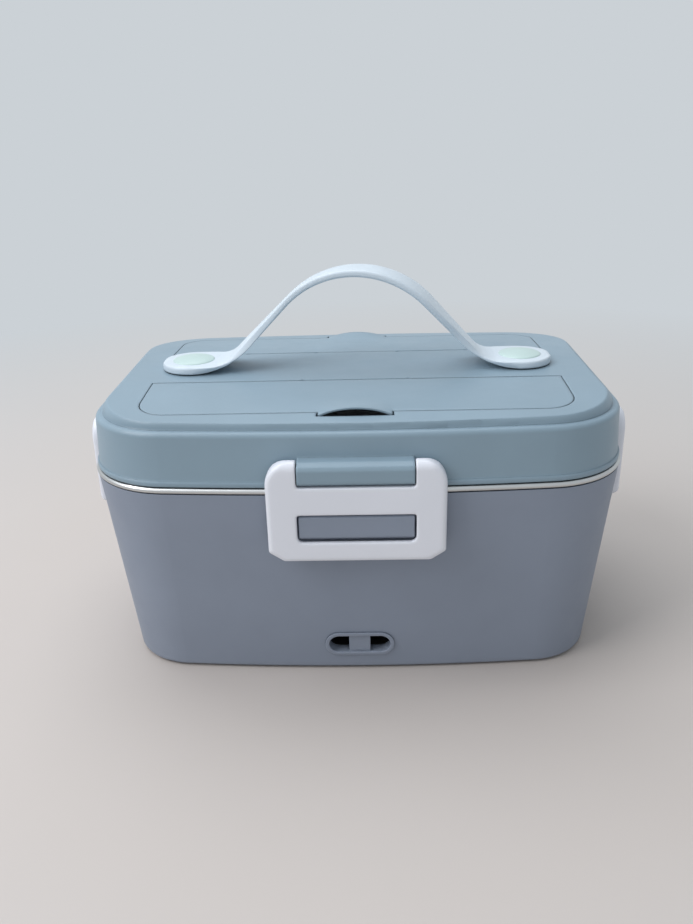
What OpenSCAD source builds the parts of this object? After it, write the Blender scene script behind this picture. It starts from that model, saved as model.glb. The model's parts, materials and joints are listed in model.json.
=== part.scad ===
// Electric lunch box with a lift-off lid, four snap latches, two compartment
// doors in the lid, an arched carry strap, a steel food pot and a heated base.
// +X is to the right, the front with the power inlet faces -Y, +Z is up.
// The origin is on the table under the middle of the box.

/* [Plan of the box] */
// Width of the lid at its shoulder
lid_w = 235; // [225:1:245]
// Depth of the lid at its shoulder, measured on the centre line
lid_d = 156; // [150:1:162]
// Corner radius of the lid's shoulder
corner_r = 37.5; // [36.5:0.5:39]

/* [Heights] */
// Height of the rubber feet under the casing
feet_h = 0.8; // [0.6:0.1:1.2]
// Top edge of the casing
casing_top = 94.4; // [92:0.2:95]
// Top face of the floor that carries the pot
well_floor = 27.1; // [26:0.1:28]
// Lid shoulder, where the rounded ledge runs round the top
shoulder_z = 121.4; // [120.5:0.1:122.5]
// Highest point of the crowned lid top
crown_z = 128; // [127.4:0.1:128.3]
// Radius of the lid's crown from front to back
crown_r = 740; // [680:4:900]

/* [Walls] */
// Draft of the casing walls, in mm of slope over the casing's height
casing_taper = 9.3; // [8:0.1:9.6]
// Wall of the plastic casing
casing_wall = 2.1; // [1.8:0.1:2.3]
// Wall of the lid
lid_wall = 2.2; // [1.8:0.1:2.4]
// Wall of the steel pot
pot_wall = 0.7; // [0.5:0.1:0.9]

/* [Latches] */
// Width of the front and rear latches
long_latch_w = 75.5; // [72:0.5:78]
// Width of the lid's hinge block in a front or rear latch
long_block_w = 48.5; // [44:0.5:50]
// Width of the left and right latches
short_latch_w = 58; // [56:0.5:60]
// Width of the lid's hinge block in a left or right latch
short_block_w = 32; // [29:0.5:33]
// Thickness of a latch plate
latch_plate = 2.7; // [2.4:0.1:3]
// Radius of a latch's hinge pin
latch_pin_r = 1.25; // [1:0.05:1.3]
// Opening angle of a latch, used when it is drawn open
latch_open = 0; // [0:5:100]

/* [Compartment doors] */
// Half width of a door
door_half_w = 94.6; // [92:0.2:96]
// Distance from the centre line to a door's free edge
door_edge_y = 62.6; // [61:0.1:63]
// Distance from the centre line to a door's hinge axis
door_hinge_y = 25.8; // [25:0.1:26.4]
// Thickness of a door
door_t = 1.8; // [1.6:0.1:2]
// Width of the raised finger lip
lip_w = 32; // [28:0.5:36]
// Height of the opening under the finger lip
lip_h = 2.1; // [1.8:0.1:2.4]

/* [Carry strap] */
// Width of the strap
strap_w = 20; // [16:0.5:22]
// Thickness of the strap
strap_t = 3.3; // [2.8:0.1:3.6]
// Height of the arch above the middle of the lid
strap_rise = 47.2; // [46:0.1:49]
// Slope of the strap's legs
strap_angle = 46; // [42:1:48]
// Radius of the arch's crown
strap_top_r = 47; // [44:1:50]
// Radius of the upper face where a leg runs into its pad
strap_foot_r = 14; // [11:0.5:16]
// Radius of the lower face, which lifts off the lid further out
strap_lift_r = 40; // [34:1:42]
// Distance from the middle of the lid to a pad's centre
pad_x = 79.5; // [78:0.5:81]
// Radius of the round end pads
pad_r = 15; // [14:0.25:15.5]

/* [Inlet] */
// Width of the inlet's raised ring
inlet_w = 31.8; // [30:0.2:33]
// Height of the inlet's raised ring
inlet_h = 12.8; // [12:0.2:13]
// Height of the inlet's centre above the table
inlet_z = 15.2; // [14.8:0.1:15.4]

/* [Hidden] */
$fn = 96;

LID_BLUE = [0.62, 0.70, 0.76];
CASING_BLUE = [0.46, 0.49, 0.56];
LATCH_WHITE = [0.87, 0.89, 0.91];
SOFT_WHITE = [0.88, 0.92, 0.92];
STEEL = [0.78, 0.79, 0.80];
ALUMINIUM = [0.72, 0.73, 0.74];
DARK_PLASTIC = [0.13, 0.13, 0.14];
RUBBER_GREY = [0.25, 0.26, 0.27];
BRASS_YELLOW = [0.80, 0.66, 0.35];
LINER_GREY = [0.80, 0.82, 0.84];

// Small distances shared by several pieces
gap = 0.3;
seam = 0.4;
run_clear = 0.05;
seat_clear = 0.03;
eps = 0.01;
far = 400;

// Plan of the box. Every outline round the box has the same four corner
// centres, so an outline is given by its reach: its distance from them.
corner_x = lid_w / 2 - corner_r;
// The front and back bulge outwards between the corners by this share of
// corner_x, along an arc that runs smoothly into the corner's own arc.
bow_share = 0.04;
side_bow = bow_share * corner_x;
corner_y = lid_d / 2 - corner_r - side_bow;
bow_r = corner_x * (1 + bow_share * bow_share) / (2 * bow_share);
bow_y = bow_r - side_bow - corner_y;
bow_fn = 720;

// Casing walls
casing_bot = feet_h;
top_reach = corner_r + 2;
casing_slope = casing_taper / (casing_top - casing_bot);
draft = atan(casing_slope);
bottom_round = 2;
cover_reach = 25;
ledge_reach = 21;
ledge_z = casing_bot + 2.2;
ledge_t = 1.8;
boss_x = 94;
boss_y = 52;
boss_h = 7.5;
boss_r = 4.5;
screw_r = 1.5;
liner_ledge_t = 1.6;

// Well and pot
liner_t = 1.6;
liner_rim_t = 2.2;
liner_floor = well_floor - 3.6;
pot_floor = well_floor + 0.3;
pot_top = casing_top + 2.8;
rim_reach = top_reach + 0.5;
rim_roll = 1.25;
pot_round = 7;
opening_w = 112;
opening_d = 62;

// Lid
skirt_bot = pot_top + 0.4;
shoulder_reach = corner_r;
skirt_reach = shoulder_reach + 1.1;
bead_reach = skirt_reach + 0.6;
bead_h = 2.5;
shoulder_round = 2.2;
plate_reach = shoulder_reach - 3.4;
plate_round = 6.5;
plate_edge = 4;
top_t = 2.5;
ledge_drop = door_t + seam;
rim_under = 1.6;
door_corner = 13;
notch_d = 4.4;
barrel_r = 1.7;
door_pin_r = 0.8;
tail = 1.4;
trough_r = 2.45;
hinge_seam_y = door_hinge_y - tail - 0.2;
hinge_gap_w = 49;
hinge_side_w = 35;
hinge_side_x = 38.5;
relief_deep = 2.3;
relief_w = 1;
relief_r = 1.2;

// Latches, in a frame whose y = 0 is the lid's face at the hinge
axis_z = shoulder_z - 13.6;
axis_out = 4.3;
face_reach = shoulder_reach + 0.4;
latch_front = 8.1;
latch_back = 2.6;
latch_bot = axis_z - 41.8;
latch_round = 10.5;
latch_chamfer = [6.3, 4.2];
latch_top_r = 3.8;
notch_z = axis_z - 7.3;
window_z = [axis_z - 32.6, axis_z - 19.8];
catch_gap = 0.8;
catch_front = 7.3;
catch_root = 1;
catch_foot = 0.6;
catch_under = 1.8;
front_face = corner_y + face_reach + side_bow;
side_face = corner_x + face_reach;

// Strap
strap_top_z = crown_z + strap_rise;
strap_arc_z = strap_top_z - strap_t / 2 - strap_top_r;
pad_under_z = crown_z + 0.1;
pad_top_z = crown_z + 4.1;
pad_round = 1.2;
bend_steps = 14;
cap_r = 10.2;
cap_t = 1.5;
cap_seat_z = pad_top_z - 1.9;

function casing_reach(z) = top_reach - casing_slope * (casing_top - z);
function crown_at(y) = crown_z - crown_r + sqrt(crown_r * crown_r - y * y);
function half_depth(reach) = corner_y + reach + side_bow;

// ---------------------------------------------------------------- outlines

// Sector seen from the centre of the front's arc, up to both corner centres
module bow_sector() {
    grow = 1.25;
    polygon([
        [0, bow_y],
        [grow * corner_x, bow_y - grow * (bow_r - side_bow)],
        [-grow * corner_x, bow_y - grow * (bow_r - side_bow)]
    ]);
}

// Plan outline of the box at a given reach
module plan(reach) {
    square([2 * (corner_x + reach), 2 * corner_y], center = true);
    for (sx = [-1, 1], sy = [-1, 1])
        translate([sx * corner_x, sy * corner_y]) circle(r = reach);
    for (my = [0, 1]) mirror([0, my]) intersection() {
        translate([0, bow_y]) circle(r = bow_r + reach, $fn = bow_fn);
        bow_sector();
        translate([-far / 2, -far]) square(far);
    }
}

// Carries a cross-section round the box. The section's x is its reach and
// its y is height. A section that starts at x = 0 is closed by a core
// between the heights in core.
module around(core = []) {
    for (mx = [0, 1], my = [0, 1]) mirror([mx, 0, 0]) mirror([0, my, 0])
        difference() {
            translate([corner_x, -corner_y, 0]) rotate(-90)
                rotate_extrude(angle = 90) children();
            linear_extrude(far, center = true) bow_sector();
        }
    for (my = [0, 1]) mirror([0, my, 0]) intersection() {
        translate([0, bow_y, 0]) rotate_extrude($fn = bow_fn)
            translate([bow_r, 0]) children();
        linear_extrude(far, center = true) bow_sector();
    }
    for (mx = [0, 1]) mirror([mx, 0, 0]) translate([corner_x, 0, 0])
        rotate([90, 0, 0]) linear_extrude(2 * corner_y, center = true)
            children();
    if (len(core) == 2)
        translate([0, 0, core[0]]) linear_extrude(core[1] - core[0]) plan(1);
}

// Filled half-section of a drafted tub with a rounded bottom edge
module tub(z0, z1, reach0, reach1, r) {
    slope = atan((reach1 - reach0) / (z1 - z0));
    cx = reach0 + r * tan(slope) - r / cos(slope);
    polygon([
        [0, z0],
        [cx, z0],
        [cx + r * cos(slope), z0 + r - r * sin(slope)],
        [reach1, z1],
        [0, z1]
    ]);
    translate([cx, z0 + r]) circle(r = r);
}

module box2(x0, x1, z0, z1) {
    translate([x0, z0]) square([x1 - x0, z1 - z0]);
}

// Rounded rectangle centred on the origin, from squares and circles
module round_rect(w, d, r) {
    square([w - 2 * r, d], center = true);
    square([w, d - 2 * r], center = true);
    for (sx = [-1, 1], sy = [-1, 1])
        translate([sx * (w / 2 - r), sy * (d / 2 - r)]) circle(r = r);
}

// Everything under the lid's crown, lowered by drop
module under_crown(drop = 0) {
    translate([0, 0, crown_z - crown_r]) rotate([0, 90, 0])
        cylinder(r = crown_r - drop, h = far, center = true, $fn = bow_fn);
}

// A plan shape given the crown's curve on top and a constant thickness
module crowned(thickness, drop = 0) {
    difference() {
        intersection() {
            translate([0, 0, crown_z - 20]) linear_extrude(24) children();
            under_crown(drop);
        }
        under_crown(drop + thickness);
    }
}

// Places a latch-side shape on each side of the box
module on_front() { translate([0, -front_face, 0]) children(); }
module on_rear() { rotate(180) translate([0, -front_face, 0]) children(); }
module on_left() { rotate(-90) translate([0, -side_face, 0]) children(); }
module on_right() { rotate(90) translate([0, -side_face, 0]) children(); }

// Sweeps a side profile, drawn as y and z, along x
module along_x(w) {
    rotate([90, 0, 90]) linear_extrude(w, center = true) children();
}

// Extrudes a front view, drawn as x and z, from y = -near to y = -deep
module toward_front(near, deep) {
    translate([0, -near, 0]) rotate([90, 0, 0])
        linear_extrude(deep - near) children();
}

// ------------------------------------------------------------------ casing

// One catch that a latch's window snaps over
module catch(block_w) {
    along_x(block_w) polygon([
        [catch_root, window_z[0] + catch_foot],
        [-latch_front + latch_plate + 0.3, window_z[0] + catch_foot],
        [-catch_front, window_z[0] + catch_foot + catch_under],
        [-catch_front, window_z[1] - 1.4],
        [-catch_front + 0.7, window_z[1] - 0.8],
        [catch_root, window_z[1] + 1.2]
    ]);
}

// Places a shape on the front wall at the inlet, y = 0 on its surface
module at_inlet() {
    translate([0, -half_depth(casing_reach(inlet_z)), inlet_z])
        rotate([draft, 0, 0]) children();
}

module stadium(w, h) {
    square([w - h, h], center = true);
    for (s = [-1, 1]) translate([s * (w - h) / 2, 0]) circle(r = h / 2);
}

module casing_section() {
    difference() {
        tub(casing_bot, casing_top, casing_reach(casing_bot), top_reach,
            bottom_round);
        tub(ledge_z + ledge_t, casing_top + eps,
            casing_reach(ledge_z + ledge_t) - casing_wall,
            top_reach - casing_wall, bottom_round - 1);
        box2(0, ledge_reach, 0, casing_top);
        box2(0, cover_reach + gap, 0, ledge_z);
    }
    difference() {
        box2(liner_reach(casing_top) + gap, casing_reach(casing_top - 4) - 1,
            casing_top - liner_rim_t - liner_ledge_t,
            casing_top - liner_rim_t);
        box2(casing_reach(casing_top - 4) - 1, top_reach, 0, casing_top);
    }
}

module outer_shell() {
    color(CASING_BLUE) difference() {
        union() {
            around() casing_section();
            on_front() catch(long_block_w - 2 * catch_gap + 1.5);
            on_rear() catch(long_block_w - 2 * catch_gap + 1.5);
            on_left() catch(short_block_w - 2 * catch_gap + 1.5);
            on_right() catch(short_block_w - 2 * catch_gap + 1.5);
            for (sx = [-1, 1], sy = [-1, 1])
                translate([sx * boss_x, sy * boss_y, ledge_z])
                    cylinder(r = boss_r, h = boss_h);
        }
        for (sx = [-1, 1], sy = [-1, 1])
            translate([sx * boss_x, sy * boss_y, ledge_z - 1])
                cylinder(r = screw_r + seat_clear, h = boss_h - 1);
        at_inlet() toward_front(-8, 8) stadium(inlet_w - 1.6, inlet_h - 1.6);
    }
}

module base_cover() {
    color(CASING_BLUE) difference() {
        translate([0, 0, casing_bot])
            linear_extrude(ledge_z - casing_bot - 0.1) plan(cover_reach);
        for (sx = [-1, 1], sy = [-1, 1]) {
            translate([sx * boss_x, sy * boss_y, 0]) {
                cylinder(r = screw_r + 0.2, h = 10);
                cylinder(r = 3, h = casing_bot + 1.1);
            }
            translate([sx * foot_x, sy * foot_y, 0])
                cylinder(r = foot_r + 0.1, h = casing_bot + foot_sink);
        }
        for (i = [-3:3])
            translate([i * 12, 0, 0]) linear_extrude(10) vent_slot();
    }
}

foot_x = 78;
foot_y = 38;
foot_r = 7;
foot_sink = 0.9;

module vent_slot() {
    rotate(90) stadium(26, 2.4);
}

module base_screws() {
    color(STEEL) for (sx = [-1, 1], sy = [-1, 1])
        translate([sx * boss_x, sy * boss_y, 0]) screw(casing_bot + 0.4, 7);
}

// A pan-head screw that points up, with its head's underside at z
module screw(z, length) {
    difference() {
        union() {
            translate([0, 0, z - 0.2]) cylinder(r = 2.7, h = 0.8);
            translate([0, 0, z]) cylinder(r = screw_r, h = length);
        }
        for (turn = [0, 90]) rotate(turn)
            cube([3.2, 0.7, 2 * z], center = true);
    }
}

module rubber_feet() {
    color(RUBBER_GREY) for (sx = [-1, 1], sy = [-1, 1])
        translate([sx * foot_x, sy * foot_y, 0])
            rotate_extrude() polygon([
                [0, 0],
                [foot_r - 0.5, 0],
                [foot_r, 0.5],
                [foot_r, casing_bot + foot_sink],
                [0, casing_bot + foot_sink]
            ]);
}

// Outer reach of the liner's wall, parallel to the casing
function liner_reach(z) = casing_reach(z) - casing_wall - 1.3;

module liner_section() {
    difference() {
        union() {
            tub(liner_floor, casing_top, liner_reach(liner_floor),
                liner_reach(casing_top), 3);
            box2(0, casing_reach(casing_top - liner_rim_t) - casing_wall - gap,
                casing_top - liner_rim_t, casing_top - 0.1);
        }
        tub(liner_floor + 1.7, casing_top + eps,
            liner_reach(liner_floor + 1.7) - liner_t,
            liner_reach(casing_top) - liner_t, 6);
        box2(0, far, casing_top - 0.1, casing_top + 1);
    }
}

module inner_liner() {
    color(LINER_GREY) difference() {
        around([liner_floor, liner_floor + 1.7]) liner_section();
        translate([0, 0, liner_floor - 1]) linear_extrude(4)
            round_rect(opening_w, opening_d, 8);
    }
}

// ------------------------------------------------------------------ heater

plate_z = well_floor - 1.8;
heater_h = 6;
clamp_t = 1.6;
clamp_x = 42;
cutoff_x = 44;

module heating_plate() {
    color(ALUMINIUM) {
        translate([0, 0, plate_z])
            linear_extrude(well_floor - plate_z) plan(22);
        for (sx = [-1, 1]) difference() {
            translate([sx * clamp_x, 0, plate_z - heater_h])
                cylinder(r = 3.5, h = heater_h + 0.5);
            translate([sx * clamp_x, 0, plate_z - heater_h - 1])
                cylinder(r = screw_r + seat_clear, h = heater_h);
        }
    }
}

module ptc_heater() {
    color(ALUMINIUM) difference() {
        translate([0, 0, plate_z - heater_h / 2 - 0.05])
            cube([66, 36, heater_h], center = true);
        for (s = [-1, 1])
            translate([0, s * 11, plate_z - heater_h / 2])
                cube([70, 6, 1.2], center = true);
    }
}

module heater_clamp() {
    color(STEEL) translate([0, 0, plate_z - heater_h - clamp_t - 0.1])
        difference() {
            linear_extrude(clamp_t) stadium(2 * clamp_x + 12, 12);
            for (sx = [-1, 1]) translate([sx * clamp_x, 0, -1])
                cylinder(r = screw_r + 0.1, h = 4);
        }
}

module clamp_screws() {
    color(STEEL) for (sx = [-1, 1])
        translate([sx * clamp_x, 0, plate_z - heater_h - clamp_t - 1]) {
            translate([0, 0, -0.9]) cylinder(r = 2.7, h = 1.75);
            cylinder(r = screw_r, h = 6.5);
        }
}

module thermal_cutoff() {
    color(DARK_PLASTIC) translate([0, 24, 0]) {
        translate([0, 0, plate_z - 5.05]) cylinder(r = 6, h = 5);
        for (s = [-1, 1])
            translate([s * 3.5, 0, plate_z - 8]) cube([2, 0.8, 7], center = true);
    }
}

// ------------------------------------------------------------------- inlet

socket_deep = 17;
pocket_deep = 14;
mouth_deep = 4.4;
web_w = 9.7;
pin_x = 8.2;
inlet_pin_r = 1.1;

module pocket_outline() {
    difference() {
        stadium(inlet_w - 3.4, inlet_h - 3.4);
        square([web_w, inlet_h], center = true);
    }
}

module inlet_bezel() {
    color(CASING_BLUE) at_inlet() difference() {
        union() {
            toward_front(0.1, 0.8) stadium(inlet_w, inlet_h);
            toward_front(-mouth_deep, 0.5) stadium(inlet_w - 2, inlet_h - 2);
        }
        toward_front(-mouth_deep - 1, 2) pocket_outline();
        toward_front(-0.2, 2) stadium(inlet_w - 3.4, inlet_h - 3.4);
    }
}

module inlet_socket() {
    color(DARK_PLASTIC) at_inlet() difference() {
        toward_front(-socket_deep, -mouth_deep - 0.1)
            stadium(inlet_w + 1, inlet_h - 0.4);
        toward_front(-pocket_deep, 2) pocket_outline();
        for (s = [-1, 1]) translate([s * pin_x, 0, 0]) rotate([-90, 0, 0])
            cylinder(r = inlet_pin_r + seat_clear, h = 30);
    }
}

module inlet_pins() {
    color(BRASS_YELLOW) at_inlet() for (s = [-1, 1])
        translate([s * pin_x, 7, 0]) rotate([-90, 0, 0])
            cylinder(r = inlet_pin_r, h = 13);
}

// Two wires from the inlet's pins back to the heater
lead_r = 1;
lead_bend = 5;

module heater_leads() {
    start_y = -half_depth(casing_reach(inlet_z)) + socket_deep + 4;
    wire_z = inlet_z + (socket_deep + 4) * sin(draft);
    color("firebrick") for (s = [-1, 1]) {
        translate([s * pin_x, start_y - 1, wire_z]) rotate([-90, 0, 0])
            cylinder(r = lead_r, h = 32.5);
        translate([s * (pin_x + lead_bend), start_y + 31.5, wire_z])
            mirror([s > 0 ? 1 : 0, 0, 0]) rotate_extrude(angle = 90)
                translate([lead_bend, 0]) circle(r = lead_r);
        translate([s * (pin_x + lead_bend), start_y + 31.5 + lead_bend, wire_z])
            rotate([0, s * 90, 0]) cylinder(r = lead_r, h = 14);
    }
}

// --------------------------------------------------------------------- pot

function pot_reach(z) = liner_reach(z) - liner_t - 0.35;

module pot_section() {
    difference() {
        union() {
            tub(pot_floor, pot_top, pot_reach(pot_floor), pot_reach(pot_top),
                pot_round);
            box2(0, rim_reach - rim_roll, pot_top - pot_wall, pot_top);
            translate([rim_reach - rim_roll, pot_top - rim_roll])
                circle(r = rim_roll);
        }
        tub(pot_floor + pot_wall, pot_top + eps,
            pot_reach(pot_floor + pot_wall) - pot_wall,
            pot_reach(pot_top) - pot_wall, pot_round - pot_wall);
    }
}

module food_pot() {
    color(STEEL) around([pot_floor, pot_floor + pot_wall]) pot_section();
}

// --------------------------------------------------------------------- lid

// Ring of the skirt, the bead at its foot and the ledge at the shoulder
module skirt_section() {
    r = shoulder_round;
    difference() {
        union() {
            polygon([
                [plate_reach - 3, skirt_bot],
                [skirt_reach, skirt_bot],
                [shoulder_reach, shoulder_z - r],
                [shoulder_reach - r, shoulder_z],
                [plate_reach - 3, shoulder_z]
            ]);
            translate([shoulder_reach - r, shoulder_z - r]) circle(r = r);
            box2(skirt_reach - 1.5, bead_reach - 0.5, skirt_bot,
                skirt_bot + bead_h);
            for (z = [0.5, bead_h - 0.5])
                translate([bead_reach - 0.5, skirt_bot + z]) circle(r = 0.5);
            box2(skirt_reach, bead_reach, skirt_bot + 0.5,
                skirt_bot + bead_h - 0.5);
        }
        polygon([
            [0, skirt_bot - 1],
            [skirt_reach - lid_wall, skirt_bot - 1],
            [shoulder_reach - lid_wall - 0.2, shoulder_z - lid_wall - 0.4],
            [0, shoulder_z - lid_wall - 0.4]
        ]);
    }
}

// Edge of the raised top, an arc that leans in towards the crown
module top_edge_section() {
    intersection() {
        union() {
            translate([plate_reach - plate_round, shoulder_z])
                circle(r = plate_round);
            box2(plate_reach - plate_round, plate_reach, shoulder_z - 1,
                shoulder_z);
        }
        box2(plate_reach - plate_edge - 1, plate_reach + 1, shoulder_z - 1,
            crown_z + 2);
    }
}

// Plan outline of a door, grown by extra
module door_plan(extra) {
    y0 = -door_edge_y - extra;
    y1 = -door_hinge_y;
    w = door_half_w + extra;
    r = door_corner + extra;
    translate([-w, y0 + r]) square([2 * w, y1 - y0 - r]);
    translate([-w + r, y0]) square([2 * (w - r), r + 1]);
    for (s = [-1, 1]) translate([s * (w - r), y0 + r]) circle(r = r);
}

// Opening in the lid's top for the front door, with its finger notch
module door_opening() {
    door_plan(seam);
    translate([-lip_w / 2 - 0.5, -door_edge_y - notch_d])
        square([lip_w + 1, notch_d + 1]);
}

hinge_z = crown_at(door_hinge_y) - barrel_r;

// Trough, pin holes and visible seam at the front door's hinge
module door_hinge_cuts() {
    translate([0, -door_hinge_y, hinge_z]) rotate([0, 90, 0]) {
        cylinder(r = trough_r, h = 2 * (door_half_w + seam),
            center = true);
        cylinder(r = door_pin_r + seat_clear, h = 2 * (door_half_w + 6),
            center = true);
    }
}

// A short stretch of wider seam with a round relief at each end
module seam_relief(x, w, y) {
    translate([x, y, crown_z - relief_deep]) {
        translate([-w / 2, -relief_w / 2, 0]) cube([w, relief_w, 4]);
        for (s = [-1, 1]) translate([s * w / 2, 0, 0])
            cylinder(r = relief_r, h = 4);
    }
}

// Lug that holds the end of a door's hinge pin
module pin_lugs() {
    for (s = [-1, 1])
        translate([s * (door_half_w + seam + 2.9), -door_hinge_y, hinge_z])
            rotate([0, 90, 0]) cylinder(r = barrel_r + 0.6, h = 5.8,
                center = true);
}

// Block on the lid that carries a latch's hinge pin
module hinge_block(w) {
    difference() {
        along_x(w) polygon([
            [0.8, axis_z + 3.3],
            [-axis_out, axis_z + 2.9],
            [-latch_front + 1, axis_z + 1.7],
            [-latch_front + 0.1, axis_z + 0.2],
            [-latch_front + 0.1, axis_z - 5.4],
            [-latch_front + 1.2, axis_z - 6.4],
            [1.2, axis_z - 6.8]
        ]);
        translate([0, -axis_out, axis_z]) rotate([0, 90, 0])
            cylinder(r = latch_pin_r + seat_clear, h = w + 2, center = true);
    }
}

module lid_shell() {
    color(LID_BLUE) difference() {
        union() {
            around() skirt_section();
            intersection() {
                around() top_edge_section();
                under_crown();
            }
            crowned(top_t) plan(plate_reach - plate_edge);
            for (turn = [0, 180]) rotate(turn) {
                crowned(rim_under, ledge_drop) door_plan(seam + 2);
                intersection() {
                    pin_lugs();
                    under_crown();
                }
            }
            on_front() hinge_block(long_block_w);
            on_rear() hinge_block(long_block_w);
            on_left() hinge_block(short_block_w);
            on_right() hinge_block(short_block_w);
        }
        for (turn = [0, 180]) rotate(turn) {
            crowned(ledge_drop + 1, -1) door_opening();
            crowned(12, -1) door_plan(-1.5);
            crowned(12, -1) translate([-lip_w / 2, -door_edge_y - notch_d])
                square([lip_w, notch_d + 4]);
            door_hinge_cuts();
        }
        seam_relief(0, hinge_gap_w, -hinge_seam_y);
        for (s = [-1, 1])
            seam_relief(s * hinge_side_x, hinge_side_w, hinge_seam_y);
        for (s = [-1, 1]) translate([s * pad_x, 0, crown_z - 10])
            cylinder(r = screw_r + seat_clear, h = 12);
    }
}

tray_floor = skirt_bot + 3;
tray_wall = 1.4;

// Walls of the front compartment, from the liner's plate to the lid's top
module tray_walls() {
    difference() {
        translate([0, 0, tray_floor])
            linear_extrude(crown_z - tray_floor) {
                door_plan(2.5);
                translate([-lip_w / 2 - 2, -door_edge_y - notch_d - 2])
                    square([lip_w + 4, 10]);
                translate([-door_half_w - 2.5, -door_hinge_y - 1])
                    square([2 * door_half_w + 5, 5]);
            }
        translate([0, 0, tray_floor - 1])
            linear_extrude(crown_z - tray_floor + 2) {
                door_plan(2.5 - tray_wall);
                translate([-lip_w / 2 - 0.6, -door_edge_y - notch_d - 0.6])
                    square([lip_w + 1.2, 10]);
                translate([-door_half_w - 1.1, -door_hinge_y - 1])
                    square([2 * door_half_w + 2.2, 3.6]);
            }
    }
}

module lid_liner() {
    reach = skirt_reach - lid_wall - 0.2;
    color(LINER_GREY) {
        around([tray_floor - 1.8, tray_floor]) {
            box2(0, reach, tray_floor - 1.8, tray_floor);
            box2(31.4, 32.8, skirt_bot - 1.4, tray_floor - 1);
        }
        intersection() {
            for (turn = [0, 180]) rotate(turn) tray_walls();
            under_crown(ledge_drop + rim_under + 0.6);
        }
    }
}

module lid_gasket() {
    color(SOFT_WHITE) around() {
        box2(33.1, skirt_reach - lid_wall - 0.5, pot_top + 0.1,
            tray_floor - 1.9);
    }
}

// Front door: crowned plate, hinge barrel and raised finger lip
lip_tilt = 12;
lip_t = 1.2;
lip_r = (lip_w * lip_w / 4 + lip_h * lip_h) / (2 * lip_h);
lip_front = -door_edge_y - notch_d + 0.6;

module lip_roll(r) {
    translate([0, lip_front, crown_at(lip_front) + lip_h - lip_r])
        rotate([-lip_tilt, 0, 0]) translate([0, -6, 0]) rotate([-90, 0, 0])
            cylinder(r = r, h = 34, $fn = 360);
}

module flap() {
    difference() {
        union() {
            difference() {
                crowned(door_t) {
                    door_plan(0);
                    translate([-door_half_w, -door_hinge_y - 1])
                        square([2 * door_half_w, tail + 1]);
                }
                intersection() {
                    lip_roll(lip_r);
                    translate([-lip_w / 2, -door_edge_y - 1, crown_z - 9])
                        cube([lip_w, 20, 20]);
                }
            }
            intersection() {
                difference() {
                    lip_roll(lip_r + lip_t);
                    lip_roll(lip_r);
                    under_crown(door_t);
                }
                translate([-lip_w / 2, lip_front, crown_z - 9])
                    cube([lip_w, 22, 20]);
            }
            translate([0, -door_hinge_y, hinge_z]) rotate([0, 90, 0])
                cylinder(r = barrel_r, h = 2 * door_half_w, center = true);
        }
        translate([0, -door_hinge_y, hinge_z]) rotate([0, 90, 0])
            cylinder(r = door_pin_r + run_clear, h = 2 * door_half_w + 2,
                center = true);
    }
}

module front_flap() { color(LID_BLUE) flap(); }
module rear_flap() { color(LID_BLUE) rotate(180) flap(); }

module flap_pin() {
    translate([0, -door_hinge_y, hinge_z]) rotate([0, 90, 0])
        cylinder(r = door_pin_r, h = 2 * (door_half_w + 5.5), center = true);
}

module front_flap_pin() { color(STEEL) flap_pin(); }
module rear_flap_pin() { color(STEEL) rotate(180) flap_pin(); }

// ----------------------------------------------------------------- latches

// Front view of a latch, with a margin taken off its edge
module latch_outline(w, inset) {
    x = w / 2 - inset;
    z0 = latch_bot + inset;
    z1 = axis_z + latch_top_r - inset;
    r = latch_round - inset;
    polygon([
        [-x, z0 + latch_chamfer[1]],
        [-x + latch_chamfer[0], z0],
        [x - latch_chamfer[0], z0],
        [x, z0 + latch_chamfer[1]],
        [x, z1 - r],
        [-x, z1 - r]
    ]);
    translate([-x + r, z1 - r - 1]) square([2 * (x - r), r + 1]);
    for (s = [-1, 1]) translate([s * (x - r), z1 - r]) circle(r = r, $fn = 48);
}

// Side view of a latch: plate, and round ears about the hinge axis
module latch_profile() {
    polygon([
        [-latch_front, latch_bot],
        [-latch_back, latch_bot],
        [-latch_back, axis_z - 6.5],
        [-axis_out + latch_top_r, axis_z],
        [-latch_front, axis_z]
    ]);
    translate([-axis_out, axis_z]) circle(r = latch_top_r);
}

// Front view of the window, with rounded lower corners
module latch_window(w) {
    translate([-w / 2, window_z[0] + 2.5])
        square([w, window_z[1] - window_z[0] - 2.5]);
    translate([-w / 2 + 2.5, window_z[0]]) square([w - 5, 3]);
    for (s = [-1, 1]) translate([s * (w / 2 - 2.5), window_z[0] + 2.5])
        circle(r = 2.5);
}

module latch(w, block_w) {
    notch_w = block_w + 0.7;
    window_w = block_w + 1.5;
    difference() {
        intersection() {
            hull() {
                toward_front(0, latch_front - 2) latch_outline(w, 0);
                toward_front(1, latch_front - 0.6) latch_outline(w, 0.5);
                toward_front(1, latch_front) latch_outline(w, 1.8);
            }
            along_x(w + 2) latch_profile();
        }
        toward_front(-1, latch_front - latch_plate) intersection() {
            latch_outline(w, 2.2);
            translate([-w, latch_bot]) square([2 * w, notch_z - latch_bot - 2.2]);
        }
        toward_front(-1, latch_front + 1) latch_window(window_w);
        toward_front(-1, latch_front + 1) translate([-notch_w / 2, notch_z])
            square([notch_w, 30]);
        translate([0, -axis_out, axis_z]) rotate([0, 90, 0])
            cylinder(r = latch_pin_r + run_clear, h = w - 5, center = true);
    }
}

module latch_pin(w) {
    translate([0, -axis_out, axis_z]) rotate([0, 90, 0])
        cylinder(r = latch_pin_r, h = w - 6, center = true);
}

// Turns a latch about its hinge by the opening angle
module opened() {
    translate([0, -axis_out, axis_z]) rotate([-latch_open, 0, 0])
        translate([0, axis_out, -axis_z]) children();
}

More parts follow.
